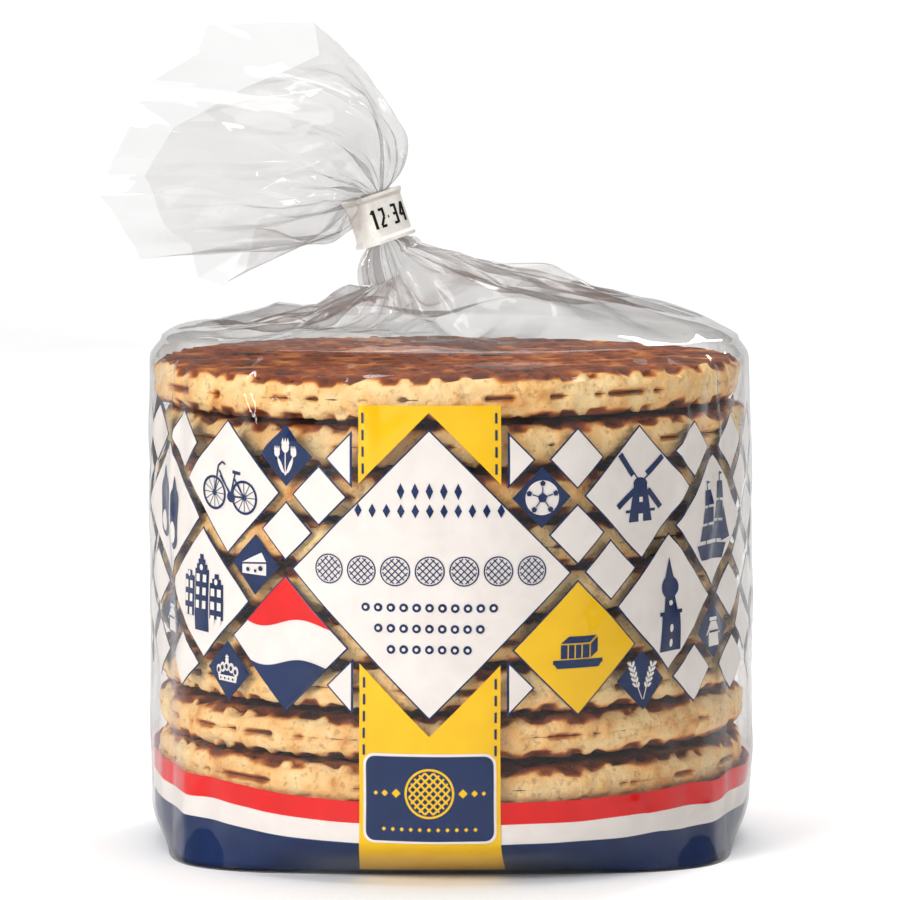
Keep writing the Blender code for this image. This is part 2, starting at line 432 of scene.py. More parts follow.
def crease_ridge(angle, height):
    """1 along the wall's sharpest folds, falling straight to 0 beside them."""
    x = ((angle - FRONT + math.pi) % TAU - math.pi) * BODY_RADIUS
    nearest = np.full(np.broadcast(x, height).shape, 1.0)
    for path in WALL_CREASES:
        corners = [(math.radians(turn) * BODY_RADIUS, level * MM) for turn, level in path]
        for (x0, z0), (x1, z1) in zip(corners, corners[1:]):
            length_squared = (x1 - x0) ** 2 + (z1 - z0) ** 2
            share = np.clip(((x - x0) * (x1 - x0) + (height - z0) * (z1 - z0)) / length_squared, 0, 1)
            aside = np.hypot(x - x0 - share * (x1 - x0), height - z0 - share * (z1 - z0))
            nearest = np.minimum(nearest, aside)
    return np.maximum(0.0, 1 - nearest / CREASE_WIDTH)


def wall_crumple(layer, turns, height):
    reach, around, tall, slant, seed = layer
    return reach * facets(turns * around + height / slant, height / tall, around, seed)


def wall_ripple(angle, height):
    """How far the film stands off its smooth round: flat facets all over, and long folds at the sides."""
    point = stacked(BODY_RADIUS * np.cos(angle), BODY_RADIUS * np.sin(angle), height)
    turns = angle / TAU
    soft = SOFT_SWELL * noise(point, 17 * MM, 3)
    large = wall_crumple(LARGE_CRUMPLES, turns, height)
    small = wall_crumple(SMALL_CRUMPLES, turns, height)
    side = smooth_step(np.abs(np.cos(angle)), 0.45, 0.9)
    long_folds = wall_crumple(SIDE_FOLDS, turns, height) * side
    bare = smooth_step(height, 64 * MM, 78 * MM)
    stiffness = PRINTED_STIFFNESS + (1 - PRINTED_STIFFNESS) * bare
    creases = CREASE_HEIGHT * stiffness * crease_ridge(angle, height)
    return (soft + large + small) * (0.6 + 0.55 * side) + long_folds + creases


def foot_rise(height):
    return np.sin(0.5 * math.pi * np.minimum(height / FOOT_RISE, 1.0))


def wall_point(angle, height):
    """The bag's wall; below zero height it runs inwards under the bag."""
    angle = np.asarray(angle, float)
    height = np.asarray(height, float)
    above = np.maximum(height, 0.0)
    foot = rounded_box(angle, FOOT_HALF_WIDTH, FOOT_HALF_DEPTH, FOOT_SQUARENESS)
    ridge = GUSSET_DEPTH * gusset_ridge(angle) * (1 - smooth_step(above, 0.0, GUSSET_TOP))
    rise = foot_rise(above)
    off_foot = smooth_step(above, 0.0, 12 * MM)
    under_rim = 1 - smooth_step(above, RIM_HEIGHT - 5 * MM, RIM_HEIGHT)
    free = off_foot * under_rim
    radius = foot + (BODY_RADIUS + ridge + wall_ripple(angle, above) * free - foot) * rise
    drawn_in = smooth_step(above, STACK_TOP - 2 * MM, RIM_HEIGHT) ** 2
    radius = radius - (BODY_RADIUS - RIM_RADIUS) * drawn_in
    radius = radius + np.minimum(height, 0.0)
    lift = 0.15 * MM * smooth_step(-height, 0.0, 6 * MM)
    return stacked(radius * np.cos(angle), radius * np.sin(angle), above + lift)


def film_grid_point(angle, height):
    """The point of the film's own mesh, which is flat between its corners."""
    column = angle * FILM_COLUMNS / TAU
    row = height / ROW_STEP
    left = np.floor(column)
    low = np.floor(row)
    across = (column - left)[..., None]
    up = (row - low)[..., None]

    def corner(i, j):
        return wall_point((left + i) * TAU / FILM_COLUMNS, (low + j) * ROW_STEP)

    lower = corner(0, 0) * (1 - across) + corner(1, 0) * across
    upper = corner(0, 1) * (1 - across) + corner(1, 1) * across
    return lower * (1 - up) + upper * up


def inward(angle, height):
    """The unit normal of the wall that points into the bag."""
    step = 0.2 * MM
    turn = step / BODY_RADIUS
    around = wall_point(angle + turn, height) - wall_point(angle - turn, height)
    up = wall_point(angle, height + step) - wall_point(angle, height - step)
    normal = np.cross(up, around)
    return normal / np.linalg.norm(normal, axis=-1, keepdims=True)


def axes_of(lean):
    across = np.array([math.cos(lean), 0.0, math.sin(lean)])
    along = np.array([-math.sin(lean), 0.0, math.cos(lean)])
    return across, np.array([0.0, 1.0, 0.0]), along


def pleat_wave(angle, turn=0.0):
    """The folds of gathered film: uneven, between -1 and 1, and the same after a full turn."""
    main = fold(11 * angle + 0.8 * np.sin(2 * angle) + turn)
    fine = fold(23 * angle + 1.3 * np.sin(3 * angle) - 1.6 * turn)
    return 0.66 * main + 0.34 * fine


def neck_point(angle, along, spread):
    inside = CLIP_WALL + 0.5 * MM
    half_width = CLIP_HALF_WIDTH - inside
    half_depth = CLIP_HALF_DEPTH - inside
    radius = rounded_box(angle - CLIP_TURN, half_width, half_depth, CLIP_SQUARENESS)
    radius = radius * spread * (0.76 + 0.24 * pleat_wave(angle))
    across, sideways, axis = axes_of(NECK_LEAN)
    place = np.array(NECK) + axis * np.asarray(along)[..., None]
    place = place + across * (radius * np.cos(angle))[..., None]
    return place + sideways * (radius * np.sin(angle))[..., None]


def trunk_foot(angle):
    """How far the gathered trunk hangs under the clip, and how wide it has grown there, at each angle."""
    right = smooth_step(np.cos(angle), -0.3, 0.8)
    return TRUNK_LENGTH * (1 - 0.72 * right), TRUNK_SPREAD * (1 - 0.2 * right)


def trunk_point(angle, share):
    length, spread = trunk_foot(angle)
    along = -0.5 * CLIP_HEIGHT - length * (1 - np.asarray(share))
    return neck_point(angle, along, 1 + (spread - 1) * (1 - np.asarray(share) ** 2.6))


# Each layer of crumples: height, cells round, slant, cells along, start along and seed.
TENT_LARGE = (2.3 * MM, 15, 0.7, 2.3, 0.2, 41)
TENT_SMALL = (1.15 * MM, 37, -2.4, 5.2, 0.0, 42)
FAN_LARGE = (3.4 * MM, 13, 0.5, 2.6, 0.4, 51)
FAN_SMALL = (1.6 * MM, 31, -1.7, 6.0, 0.0, 52)
PLEAT_HEIGHT = 1.6 * MM
TENT_SHOULDER = 2.0 * MM
STACK_GAP = 0.9 * MM


def sheet_crumple(layer, turns, share):
    reach, around, slant, along, start, seed = layer
    return reach * facets(turns * around + slant * share, along * share + start, around, seed)


def tent_point(angle, share):
    """The film over the stack, from the rim at share 0 to the foot of the trunk at share 1."""
    rim = wall_point(angle, np.full_like(angle, RIM_HEIGHT))
    foot = trunk_point(angle, np.zeros_like(angle))
    share = np.asarray(share)
    drawn_up = 2.3 - 1.2 * smooth_step(np.cos(angle), -0.35, 0.75)
    level = rim * (1 - share)[..., None] + foot * share[..., None]
    shoulder = TENT_SHOULDER * (1 - np.exp(-share / 0.07)) * (1 - share)
    level[..., 2] = rim[..., 2] + (foot[..., 2] - rim[..., 2]) * share ** drawn_up + shoulder
    gathered = np.sin(math.pi * share ** 1.15)
    turns = angle / TAU
    large = sheet_crumple(TENT_LARGE, turns, share) * (gathered + 0.25 * (1 - share))
    small = sheet_crumple(TENT_SMALL, turns, share) * (gathered + 0.3 * (1 - share))
    pleats = PLEAT_HEIGHT * pleat_wave(angle, 1.6 * share) * np.sin(math.pi * share ** 2.2)
    level[..., 2] += (large + small) * smooth_step(share, 0.0, 0.08) + pleats
    lowest = STACK_TOP + STACK_GAP + 1.4 * MM * (1 - share) ** 3
    level[..., 2] = np.maximum(level[..., 2], lowest)
    return level


# (degrees round the tube, x, y, z in mm); 0 degrees is the side that ends on top and -90 the side in front
FAN_MIDDLE = [
    (-180, -19, 0, 103.2), (-150, -22.5, -7, 103.6), (-120, -27, -13, 108), (-90, -30, -16, 114),
    (-60, -27, -14, 121.5), (-30, -17.5, -8, 127), (0, -8.6, 0, 123.2), (30, -15, 9, 126.5),
    (60, -24, 14, 122), (90, -29, 15, 114), (120, -26, 11, 107), (150, -22, 6, 104.2),
]
FAN_EDGE = [
    (-180, -30, -1, 104.6), (-160, -41, -6, 101.2), (-140, -52.3, -9, 99.8), (-115, -55.5, -13, 106),
    (-96, -59, -12, 110.8), (-72, -56, -15, 118), (-50, -52, -11, 127), (-36, -50.5, -7, 130),
    (-25, -43, -4, 134.4), (-18, -41, -2, 139.5), (8, -23, 2, 139.5), (20, -22.5, 5, 133.5),
    (45, -36, 12, 128), (70, -48, 15, 121), (95, -53, 14, 113), (118, -49, 10, 104.5),
    (128, -44.5, 8, 101.5), (134, -43.2, 5, 96.4), (146, -38.8, 3, 95.2), (156, -35, 2, 97.6),
    (163, -33.4, 1, 104.8),
]


def fan_point(angle, share):
    """The free end of the film, from the clip at share 0 to its open edge at share 1."""
    share = np.asarray(share)
    start = neck_point(angle, np.full_like(angle, 0.5 * CLIP_HEIGHT), 0.97)
    middle = along_ring(angle, FAN_MIDDLE)
    edge = along_ring(angle, FAN_EDGE)
    pull = 2 * middle - 0.5 * (start + edge)
    s = share[..., None]
    point = start * (1 - s) ** 2 + pull * 2 * s * (1 - s) + edge * s ** 2
    turns = angle / TAU
    open_part = smooth_step(share, 0.0, 0.30) * (1 - 0.55 * smooth_step(share, 0.8, 1.0))
    large = sheet_crumple(FAN_LARGE, turns, share)
    small = sheet_crumple(FAN_SMALL, turns, share)
    fading = smooth_step(share, 0.0, 0.15) * (1 - share) ** 1.5
    pleats = PLEAT_HEIGHT * pleat_wave(angle, 1.5 * share) * fading
    point[..., 1] += (large + small) * open_part + pleats
    point[..., 2] += 0.35 * (small - large) * open_part + 0.8 * pleats
    point[..., 0] += 0.3 * small * open_part + 0.5 * pleats
    return point


def film_rows():
    """The film's rows from the middle of its base to the fan's open edge, and how gathered each row is."""
    angle = np.arange(FILM_COLUMNS) * TAU / FILM_COLUMNS
    rows = []
    plies = []

    def add_row(points, gathered):
        rows.append(points)
        plies.append(np.full(FILM_COLUMNS, gathered))

    under = wall_point(angle, np.full_like(angle, -UNDER_ROWS * ROW_STEP))
    for share in (0.0, 0.35, 0.7):
        add_row(under * np.array([share, share, 1.0]), 0.0)
    for row in range(-UNDER_ROWS, WALL_ROWS + 1):
        add_row(wall_point(angle, np.full_like(angle, row * ROW_STEP)), 0.0)
    for share in np.linspace(0, 1, TENT_ROWS)[1:]:
        add_row(tent_point(angle, np.full_like(angle, share)), 0.25 + 0.75 * share ** 2)
    for share in np.linspace(0, 1, TRUNK_ROWS)[1:]:
        add_row(trunk_point(angle, np.full_like(angle, share)), 1.0)
    add_row(neck_point(angle, np.zeros_like(angle), 0.97), 1.0)
    for share in np.linspace(0, 1, FAN_ROWS) ** 1.1:
        add_row(fan_point(angle, np.full_like(angle, share)), 0.40 + 0.60 * (1 - share) ** 2)
    return np.array(rows), np.array(plies)


def add_film(material):
    rows, plies = film_rows()
    mesh = mesh_of("bag_film", rows, loop_faces(len(rows), FILM_COLUMNS))
    set_attribute(mesh, "plies", plies)
    put_in_bag(add_object("bag_film", mesh, material))


# ---------------------------------------------------------------- the waffles

IRON_PITCH = 4.9 * MM
HALF_THICKNESS = 3.62 * MM
PIT_DEPTH = 0.95 * MM
SIDE_STEPS = 13


def iron_pits(x, y, turn):
    """0 on the ridges that the iron leaves and 1 in its pits."""
    u = (x * math.cos(turn) + y * math.sin(turn)) / IRON_PITCH
    v = (y * math.cos(turn) - x * math.sin(turn)) / IRON_PITCH
    nearest = np.minimum(np.abs(u - np.round(u)), np.abs(v - np.round(v))) * IRON_PITCH
    return smooth_step(nearest, 0.55 * MM, 1.45 * MM)


def half_rings(exposed):
    """(share of the radius, level, part) of each ring of one half, from its syrup face to the crust's middle."""
    rings = [(share, 0.0, "in") for share in (0.0, 0.5, 0.88, 0.965)]
    for step in range(SIDE_STEPS):
        level = 0.95 * step / (SIDE_STEPS - 1)
        rings.append((1 - 0.034 * level ** 2.6, level, "side"))
    rings.append((0.962, 0.985, "face"))
    inner = 0.0 if exposed else 0.84
    step = 0.0135
    share = 0.950
    while share > inner + step:
        rings.append((share, 1.0, "face"))
        share -= step
    if not exposed:
        rings.append((0.5, 1.0, "face"))
    rings.append((0.0, 1.0, "face"))
    return rings


def waffle_half(index, way, columns, exposed, turn):
    """One half's points and baking, with painted shade in the iron's pits, as a grid of rings; way is 1 for the
    upper half and -1 for the lower.
    """
    angle = np.arange(columns) * TAU / columns
    unround = 0.006 * np.sin(2 * angle + index)
    rim = WAFFLE_RADIUS * (0.993 + unround + 0.004 * np.sin(3 * angle + 2.2 * index))
    rows = []
    bake_and_painted_shade_rows = []
    slit = stacked(rim * np.cos(angle), rim * np.sin(angle), 40 * MM * index)
    torn = smooth_step(noise(slit, 4.5 * MM, 23) + 0.6 * noise(slit, 1.4 * MM, 25), 0.12, 0.55)
    for share, level, part in half_rings(exposed):
        base = stacked(rim * share * np.cos(angle), rim * share * np.sin(angle), level * HALF_THICKNESS * way)
        seeded = base + np.array([0.0, 0.0, 40 * MM * index])
        height = np.full(columns, level * HALF_THICKNESS)
        radius = rim * share
        coarse = noise(seeded, 5.5 * MM, 21)
        crumb = noise(seeded, 1.7 * MM, 22)
        grit = noise(seeded, 0.95 * MM, 24)
        pits = iron_pits(base[..., 0], base[..., 1], turn)
        if part == "face":
            edge = smooth_step(share, 0.91, 0.965)
            height = height - PIT_DEPTH * pits * (1 - 0.3 * edge) - 0.6 * MM * edge * (0.35 + 0.65 * pits)
            height = height + 0.20 * MM * coarse + 0.12 * MM * crumb
            # The pits term makes the iron's pits darker than the ridges: painted shade in the hollows.
            bake_and_painted_shade = 0.66 + 0.22 * coarse + 0.15 * pits + 0.14 * crumb - 0.08 * edge * (1 - pits)
        elif part == "side":
            upper = smooth_step(level, 0.45, 1.0)
            open_here = torn * (1 - smooth_step(level, 0.02, 0.20))
            radius = radius + 0.36 * MM * crumb + 0.34 * MM * coarse + 0.20 * MM * grit
            radius = radius - 0.55 * MM * pits * upper - open_here * 0.85 * MM
            height = height + (0.16 * MM * crumb + 0.10 * MM * grit) * smooth_step(level, 0.0, 0.2)
            height = height + 0.20 * MM * torn * (1 - smooth_step(level, 0.0, 0.3)) - 0.65 * MM * pits * upper
            # The pits term makes the dark crust reach further where the side dips into a pit: painted shade.
            crust_and_painted_shade = smooth_step(level + 0.20 * coarse + 0.10 * crumb + 0.20 * (pits - 0.5), 0.60, 0.93)
            bake_and_painted_shade = 0.12 + 0.17 * coarse + 0.13 * crumb + 0.07 * grit + 0.60 * crust_and_painted_shade + 0.30 * open_here
        else:
            bake_and_painted_shade = np.full(columns, 0.5)
        rows.append(stacked(radius * np.cos(angle), radius * np.sin(angle), height * way))
        bake_and_painted_shade_rows.append(np.broadcast_to(bake_and_painted_shade, (columns,)))
    return np.array(rows), np.array(bake_and_painted_shade_rows)


UPPER_SHIFTS = {WAFFLE_COUNT - 1: (-0.7, -0.3), WAFFLE_COUNT - 2: (1.3, 0.9)}


def placed(points, index):
    """The waffle's own small warp, tilt and shift in the stack."""
    rng = np.random.default_rng(300 + index)
    shift = rng.uniform(-0.6, 0.6, 2) * MM
    if index in UPPER_SHIFTS:
        shift = np.array(UPPER_SHIFTS[index]) * MM
    tilt = rng.uniform(-0.0045, 0.0045, 2)
    phase = rng.uniform(0, TAU)
    x = points[..., 0]
    y = points[..., 1]
    far = (x * x + y * y) / WAFFLE_RADIUS ** 2
    warp = 0.32 * MM * far * np.cos(2 * np.arctan2(y, x) + phase)
    centre = FOLDED_BASE + (index + 0.5) * WAFFLE_PITCH
    z = points[..., 2] + centre + warp + tilt[0] * x + tilt[1] * y
    return inside_film(stacked(x + shift[0], y + shift[1], z))


def inside_film(points):
    """Presses the outermost crumbs in, so that they stay behind the film."""
    angle = np.arctan2(points[..., 1], points[..., 0])
    wall = np.linalg.norm(wall_point(angle, points[..., 2])[..., :2], axis=-1)
    radius = np.linalg.norm(points[..., :2], axis=-1)
    margin = 0.80 * MM + 1.5 * MM * (1 - smooth_step(points[..., 2], 4 * MM, 12 * MM))
    keep = np.minimum(radius, wall - margin) / np.maximum(radius, MM)
    return points * np.stack([keep, keep, np.ones_like(keep)], axis=-1)


def add_waffle(index, material):
    top = index == WAFFLE_COUNT - 1
    turn = 0.35 + 1.9 * index
    columns = 600 if top else 420
    points = []
    faces = []
    bake_and_painted_shade_rows = []
    start = 0
    for way in (1, -1):
        rows, bake_and_painted_shade = waffle_half(index, way, columns, top and way > 0, turn)
        grid = loop_faces(len(rows), columns)
        if way < 0:
            grid = grid[:, ::-1]
        points.append(rows.reshape(-1, 3))
        faces.append(grid + start)
        bake_and_painted_shade_rows.append(bake_and_painted_shade.ravel())
        start += rows.shape[0] * columns
    mesh = mesh_of(f"waffle_{index + 1:02d}", placed(np.concatenate(points), index), np.concatenate(faces))
    set_attribute(mesh, "bake_and_painted_shade", np.concatenate(bake_and_painted_shade_rows))
    weld(mesh)
    put_in_bag(add_object(mesh.name, mesh, material))


def add_syrup(index, material):
    """The syrup between two halves: a thin uneven disc whose edge comes out in places."""
    columns = 300
    angle = np.arange(columns) * TAU / columns
    circle = stacked(WAFFLE_RADIUS * np.cos(angle), WAFFLE_RADIUS * np.sin(angle), 60 * MM * index)
    reach = WAFFLE_RADIUS * 0.979 + 0.7 * MM * noise(circle, 6 * MM, 31)
    reach = reach + 0.35 * MM * noise(circle, 2 * MM, 32)
    rows = []
    for share, height in ((0.0, 0.22), (0.6, 0.22), (0.95, 0.22), (0.992, 0.20), (1.0, 0.0), (0.992, -0.20),
                          (0.95, -0.22), (0.6, -0.22), (0.0, -0.22)):
        rows.append(stacked(reach * share * np.cos(angle), reach * share * np.sin(angle), height * MM))
    mesh = mesh_of(f"syrup_{index + 1:02d}", placed(np.array(rows), index), loop_faces(len(rows), columns))
    weld(mesh)
    put_in_bag(add_object(mesh.name, mesh, material))


# ---------------------------------------------------------------- the print

HALF_PITCH = 6.21  # half of a small diamond's cell, in millimetres
INSET = 0.25  # the clear lattice's share of a half pitch, on each side
PANEL_COLUMNS = 26  # half pitches from the middle of the front panel to the middle of the back one
PRINT_MIDDLE = 50.9 * MM
PRINT_TURN = math.radians(-3.8)
STRIP_HALF = 11.7
STRIP_TOP = 27.5
DASH_PLACE = 10.9
DASH_LENGTH = 1.7
DASH_STEP = 2.75
OUTLINE = 0.38
CUT_STEP = 1.1  # the print is cut this fine, so that it bends with the film
# How far behind the film each kind of shape lies, so that a later one covers an earlier one.
DEPTHS = {
    "band": 0.46, "edge": 0.40, "fill": 0.31, "icon": 0.23,
    "panel": 0.18, "emblem": 0.13, "detail": 0.09,
}
DEPTH_STEP = 0.0015
INKS = {
    "print_white": (linear(240, 233, 227), linear(233, 225, 219)),
    "print_navy": (linear(24, 46, 92), linear(18, 38, 80)),
    "print_yellow": (linear(248, 198, 20), linear(242, 190, 16)),
    "print_red": (linear(232, 20, 18), linear(218, 16, 16)),
}


def disc(x, z, radius, sides=22, tall=1.0, tilt=0.0):
    points = []
    for step in range(sides):
        turn = TAU * step / sides
        across = radius * math.cos(turn)
        up = radius * tall * math.sin(turn)
        points.append((x + across * math.cos(tilt) - up * math.sin(tilt),
                       z + across * math.sin(tilt) + up * math.cos(tilt)))
    return points


def box(x0, z0, x1, z1):
    return [(x0, z0), (x1, z0), (x1, z1), (x0, z1)]


def stroke(x0, z0, x1, z1, width):
    length = math.hypot(x1 - x0, z1 - z0)
    side_x = -(z1 - z0) / length * 0.5 * width
    side_z = (x1 - x0) / length * 0.5 * width
    return [(x0 + side_x, z0 + side_z), (x0 - side_x, z0 - side_z),
            (x1 - side_x, z1 - side_z), (x1 + side_x, z1 + side_z)]


def diamond(x, z, half):
    return [(x - half, z), (x, z - half), (x + half, z), (x, z + half)]


def rounded_panel(x, z, half_width, half_height, corner):
    points = []
    for quarter, (side, level) in enumerate(((1, 1), (-1, 1), (-1, -1), (1, -1))):
        for step in range(6):
            turn = (quarter + step / 5) * 0.5 * math.pi
            points.append((x + side * (half_width - corner) + corner * math.cos(turn),
                           z + level * (half_height - corner) + corner * math.sin(turn)))
    return points


class Sheet:
    """The flat print: triangles in millimetres from the front panel's middle, one list for each ink."""

    def __init__(self):
        self.triangles = {ink: [] for ink in INKS}

    def add(self, ink, outline, depth, hole=None):
        loops = [outline] if hole is None else [outline, hole]
        corners = [point for loop in loops for point in loop]
        for triangle in tessellate_polygon([[Vector((x, z, 0)) for x, z in loop] for loop in loops]):
            placed_corners = [(corners[i][0], depth, corners[i][1]) for i in triangle]
            self.triangles["print_" + ink].append(placed_corners)


class Pen:
    """Draws one small picture at a place on the sheet; each stroke lies a hair above the last."""

    def __init__(self, sheet, x, z, ink, paper, size=1.0, depth=DEPTHS["icon"]):
        self.sheet, self.x, self.z = sheet, x, z
        self.ink, self.paper, self.size, self.depth = ink, paper, size, depth
        self.strokes = 0

    def _add(self, ink, depth, outline, hole):
        self.strokes += 1
        loops = [None if loop is None else [(self.x + self.size * x, self.z + self.size * z) for x, z in loop]
                 for loop in (outline, hole)]
        self.sheet.add(ink, loops[0], depth - DEPTH_STEP * self.strokes, loops[1])

    def fill(self, outline, hole=None):
        self._add(self.ink, self.depth, outline, hole)

    def cut(self, outline, hole=None):
        self._add(self.paper, DEPTHS["detail"], outline, hole)

    def ring(self, x, z, radius, width):
        self.fill(disc(x, z, radius, 30), list(reversed(disc(x, z, radius - width, 30))))


def draw_tulips(pen):
    for x, z, size in ((0.0, 1.15, 1.0), (-1.35, 0.35, 0.75), (1.35, 0.45, 0.75)):
        pen.fill(disc(x, z, 0.62 * size, 16, 1.25))
        for side in (-1, 0, 1):
            tip = x + 0.42 * size * side
            half, low = 0.26 * size, z + 0.4 * size
            pen.fill([(tip - half, low), (tip + half, low), (tip, z + 1.25 * size)])
        pen.fill(stroke(x, z - 0.5 * size, 0.0, -2.6, 0.16))
    for side in (-1, 1):
        pen.fill(disc(0.75 * side, -1.35, 0.26, 14, 4.2, -0.42 * side))


def draw_bicycle(pen):
    for x in (-2.9, 2.9):
        pen.ring(x, -1.2, 2.35, 0.36)
        for spoke in range(6):
            turn = spoke * math.pi / 6
            across, up = 2.1 * math.cos(turn), 2.1 * math.sin(turn)
            pen.fill(stroke(x - across, -1.2 - up, x + across, -1.2 + up, 0.11))
        pen.fill(disc(x, -1.2, 0.42))
    lines = [(-2.9, -1.2, -1.9, 2.6), (-1.75, 2.0, 0.4, -1.3), (-1.6, 1.3, 0.35, -0.9), (0.4, -1.3, 1.4, 2.0),
             (0.4, -1.3, 2.9, -1.2), (1.2, 1.2, 2.9, -1.2), (-1.9, 2.6, -1.1, 3.2), (-1.1, 3.2, -0.5, 2.9)]
    for line in lines:
        pen.fill(stroke(*line, 0.26))
    pen.fill(stroke(0.9, 2.1, 2.3, 2.0, 0.45))
    pen.fill(disc(0.5, -1.4, 0.75))


def draw_windmill(pen):
    pen.fill([(-2.1, -4.6), (2.1, -4.6), (1.15, 1.2), (-1.15, 1.2)])
    pen.fill([(-2.7, -3.2), (2.7, -3.2), (2.7, -2.75), (-2.7, -2.75)])
    pen.fill(disc(0, 1.3, 1.25, 20, 0.8))
    for blade in range(4):
        turn = math.radians(38 + 90 * blade)
        across, up = math.cos(turn), math.sin(turn)
        pen.fill(stroke(0, 1.5, 5.6 * across, 1.5 + 5.6 * up, 0.24))
        pen.fill(stroke(1.7 * across - 0.4 * up, 1.5 + 1.7 * up + 0.4 * across,
                        5.6 * across - 0.4 * up, 1.5 + 5.6 * up + 0.4 * across, 0.8))
    pen.cut(box(-0.4, -4.6, 0.4, -3.4))
    pen.cut(box(-0.3, -1.6, 0.3, -0.8))


def draw_ship(pen):
    pen.fill([(-3.9, -3.2), (3.9, -3.2), (2.9, -5.2), (-2.7, -5.2)])
    for mast, height in ((-1.7, 4.2), (1.3, 5.2)):
        pen.fill(stroke(mast, -3.2, mast, height + 0.9, 0.22))
        for level in range(3):
            low = -2.7 + (height + 2.7) / 3 * level
            top = low + (height + 2.7) / 3 - 0.35
            wide = 1.5 - 0.3 * level
            pen.fill([(mast - wide, low), (mast + wide + 0.3, low),
                      (mast + wide - 0.15, top), (mast - wide + 0.3, top)])
        pen.fill([(mast, height + 0.9), (mast + 0.9, height + 0.65), (mast, height + 0.4)])
    pen.fill([(2.6, -3.0), (4.9, -2.4), (2.7, 1.6)])


def draw_tower(pen):
    pen.fill([(-2.3, -7.4), (2.3, -7.4), (1.7, -1.6), (-1.7, -1.6)])
    pen.fill(box(-2.2, -2.0, 2.2, -1.4))
    pen.fill([(-1.3, -1.4), (1.3, -1.4), (0.9, 1.2), (-0.9, 1.2)])
    pen.fill(disc(0, 2.1, 1.75, 22, 0.95))
    pen.fill([(-0.95, 3.3), (0.95, 3.3), (0, 6.6)])
    for level in (-6.2, -4.0):
        pen.cut(disc(0, level, 0.38, 14, 1.6))
    pen.cut(disc(0, -0.2, 0.4, 16))


def draw_houses(pen):
    for x, wide, height, steps in ((-2.9, 2.5, 2.2, 1), (0.0, 2.9, 3.4, 3), (3.0, 2.6, 1.6, 2)):
        half = 0.5 * wide
        pen.fill(box(x - half, -5.4 + abs(x) * 0.65, x + half, height))
        for step in range(steps):
            narrow = half * (1 - (step + 1) / (steps + 1))
            pen.fill(box(x - narrow, height - 0.05, x + narrow, height + 0.7 * (step + 1)))
        for floor in range(3):
            for side in (-1, 1):
                middle = x + side * 0.24 * wide
                level = height - 1.3 - 1.9 * floor
                pen.cut(box(middle - 0.36, level - 0.55, middle + 0.36, level + 0.55))
        pen.cut(disc(x, height + 0.25, 0.34, 12, 1.3))


def draw_clogs(pen):
    for x, z in ((-1.45, 0.5), (1.45, -0.5)):
        pen.fill(disc(x, z - 2.6, 1.05, 20, 1.25))
        pen.fill([(x - 0.95, z - 2.6), (x + 0.95, z - 2.6), (x + 1.15, z + 1.6), (x - 1.15, z + 1.6)])
        pen.fill(disc(x, z + 1.5, 1.15, 20, 1.3))
        pen.fill([(x - 0.7, z + 2.4), (x + 0.7, z + 2.4), (x, z + 4.3)])
        pen.cut(disc(x, z - 2.0, 0.62, 18, 2.0))


def draw_ball(pen):
    pen.fill(disc(0, 0, 2.35, 30))
    for spot in range(5):
        turn = math.radians(90 + 72 * spot)
        across, up = math.cos(turn), math.sin(turn)
        pen.cut(stroke(0.6 * across, 0.6 * up, 1.5 * across, 1.5 * up, 0.15))
        pen.cut(disc(1.95 * across, 1.95 * up, 0.42, 5, 1.0, turn))
    pen.cut(disc(0, 0, 0.72, 5, 1.0, math.radians(90)))


def draw_wheat(pen):
    for side in (-1, 1):
        lean = 0.32 * side
        for grain in range(5):
            along = -0.6 + 0.72 * grain
            x, z = 0.35 * side + math.sin(lean) * (along + 2.4), along
            for way in (-1, 1):
                pen.fill(disc(x + 0.32 * way, z, 0.20, 10, 2.3, -lean - 0.55 * way))
        pen.fill(stroke(0.1 * side, -2.6, 0.35 * side + math.sin(lean) * 5.4, 2.7, 0.13))


def draw_crown(pen):
    pen.fill([(-1.7, -1.5), (1.7, -1.5), (1.9, -0.7), (-1.9, -0.7)])
    for x, top in ((-1.45, 0.55), (-0.75, 0.95), (0.0, 1.15), (0.75, 0.95), (1.45, 0.55)):
        pen.fill(disc(1.15 * x, top - 0.55, 0.52, 16, 1.35))
        pen.cut(disc(1.15 * x, top - 0.60, 0.24, 12, 1.5))
    pen.fill(disc(0.0, 1.45, 0.34, 14))
    pen.fill(box(-0.1, 1.5, 0.1, 2.2))
    pen.fill(box(-0.32, 1.8, 0.32, 2.0))
    for x in (-1.2, -0.4, 0.4, 1.2):
        pen.cut(disc(x, -1.1, 0.16, 10))


def draw_churn(pen):
    pen.fill([(-1.25, -2.4), (1.25, -2.4), (1.25, 0.4), (0.75, 1.2), (-0.75, 1.2), (-1.25, 0.4)])
    pen.fill(box(-1.0, 1.3, 1.0, 1.85))
    for side in (-1, 1):
        pen.fill(stroke(1.2 * side, 0.2, 1.75 * side, -0.7, 0.25))
    pen.cut(box(-1.25, -0.4, 1.25, -0.1))


def draw_cheese(pen):
    pen.fill([(-2.2, -1.4), (2.0, -1.4), (2.0, 0.2), (-2.2, -0.2)])
    pen.fill([(-2.2, 0.05), (2.0, 0.45), (1.2, 1.7)])
    for x, z, radius in ((-1.1, -0.8, 0.3), (0.2, -0.9, 0.22), (1.1, -0.5, 0.36)):
        pen.cut(disc(x, z, radius, 14))


def draw_butter(pen):
    """A butter dish with a pat on it."""
    pen.fill(box(-4.4, -2.6, 4.4, -1.9))
    pen.fill([(-3.7, -3.3), (3.7, -3.3), (4.2, -2.55), (-4.2, -2.55)])
    pen.fill([(-3.1, -1.7), (1.9, -1.7), (1.9, 0.6), (-3.1, 0.6)])
    pen.fill([(-3.1, 0.85), (1.9, 0.85), (3.2, 2.0), (-1.7, 2.0)])
    pen.fill([(2.15, -1.7), (3.4, -0.7), (3.4, 1.75), (2.15, 0.65)])
    for x in (-1.9, -0.7, 0.5):
        pen.cut(stroke(x, -1.7, x, 0.6, 0.18))


